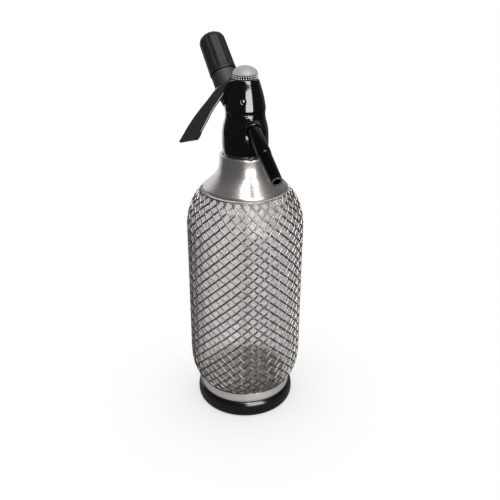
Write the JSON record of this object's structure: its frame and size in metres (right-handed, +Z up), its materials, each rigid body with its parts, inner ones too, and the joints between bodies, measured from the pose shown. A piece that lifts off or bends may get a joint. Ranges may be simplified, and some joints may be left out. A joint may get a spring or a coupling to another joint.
{
  "type": "soda siphon",
  "caption": "Soda siphon: a glass bottle in a wire-mesh sleeve with a black screw-on head, a squeeze lever with its valve, a sloping spout, a domed nut and a screw-on charger holder.",
  "frame": {"origin": "middle of the foot's underside, on the bottle's axis", "axes": "+Z up along the bottle's axis, -Y towards the spout's side; the lever is on the -X side"},
  "size_m": [0.1042, 0.1385, 0.337],
  "materials": {
    "foot_black": "glossy moulded black",
    "ring_silver": "satin turned ring",
    "clear_glass": "clear, smooth",
    "mesh_steel": "bright woven wire, slightly dulled in the crossings",
    "collar_aluminium": "spun and satin, with fine turning lines",
    "head_black": "high-gloss black lacquer",
    "spout_black": "satin black",
    "lever_grey": "matte charcoal with a fine grain",
    "holder_grey": "matte charcoal, fluted lengthwise",
    "dome_silver": "satin, beaded rim",
    "pin_steel": "polished pin end",
    "inner_steel": "plain machined steel, hidden",
    "brass": "plain machined brass, hidden",
    "charger_steel": "bright zinc-plated cartridge",
    "black_rubber": "soft black seal",
    "red_rubber": "red-brown neck gasket",
    "white_plastic": "off-white moulding",
    "clear_tube": "milky clear tube"
  },
  "bodies": {
    "bottle": {"foot": "foot_black", "base_ring": "ring_silver", "glass_bottle": "clear_glass", "wire_mesh": "mesh_steel", "neck_collar": "collar_aluminium"},
    "riser": {"neck_gasket": "red_rubber", "tube_plate": "white_plastic", "dip_tube": "clear_tube"},
    "head": {"head_body": "head_black", "lever_housing": "head_black", "thread_ring": "brass", "valve_seat": "brass", "stem_gland": "black_rubber", "valve_spring": "inner_steel", "lever_pin": "pin_steel", "spout_seal": "black_rubber", "spout_tube": "spout_black", "spout_tip": "spout_black", "piercing_pin": "inner_steel", "charger_seal": "black_rubber", "charger_nipple": "brass"},
    "lever": {"lever": "lever_grey"},
    "stem": {"valve_stem": "inner_steel", "valve_seal": "black_rubber"},
    "dome": {"dome_cap": "dome_silver"},
    "charger": {"co2_charger": "charger_steel"},
    "holder": {"charger_holder": "holder_grey"}
  },
  "joints": [
    {"name": "head_lift", "type": "slide", "parent": "bottle", "child": "riser", "axis": [0, 0, 1], "range_m": [0, 0.24]},
    {"name": "head_unscrew", "type": "hinge", "parent": "riser", "child": "head", "pos_m": [0, 0, 0.2445], "axis": [0, 0, 1], "continuous": true},
    {"name": "lever_press", "type": "hinge", "parent": "head", "child": "lever", "pos_m": [0, 0, 0.2908], "axis": [-0.4226, -0.9063, 0], "range_deg": [0, 16], "stiffness_Nm_per_rad": 3, "springref_deg": -2.86},
    {"name": "valve_lift", "type": "slide", "parent": "head", "child": "stem", "axis": [0, 0, 1], "range_m": [0, 0.0015], "deforming": ["valve_spring"]},
    {"name": "dome_unscrew", "type": "hinge", "parent": "head", "child": "dome", "pos_m": [0, 0, 0.3066], "axis": [0, 0, 1], "continuous": true},
    {"name": "charger_load", "type": "slide", "parent": "head", "child": "charger", "axis": [-0.1227, 0.631, 0.766], "range_m": [0, 0.075]},
    {"name": "holder_unscrew", "type": "hinge", "parent": "charger", "child": "holder", "pos_m": [0, 0, 0.26159], "axis": [-0.1227, 0.631, 0.766], "continuous": true}
  ],
  "couplings": [
    {"joint": "valve_lift", "follows": "lever_press", "m_per_rad": 0.005}
  ]
}
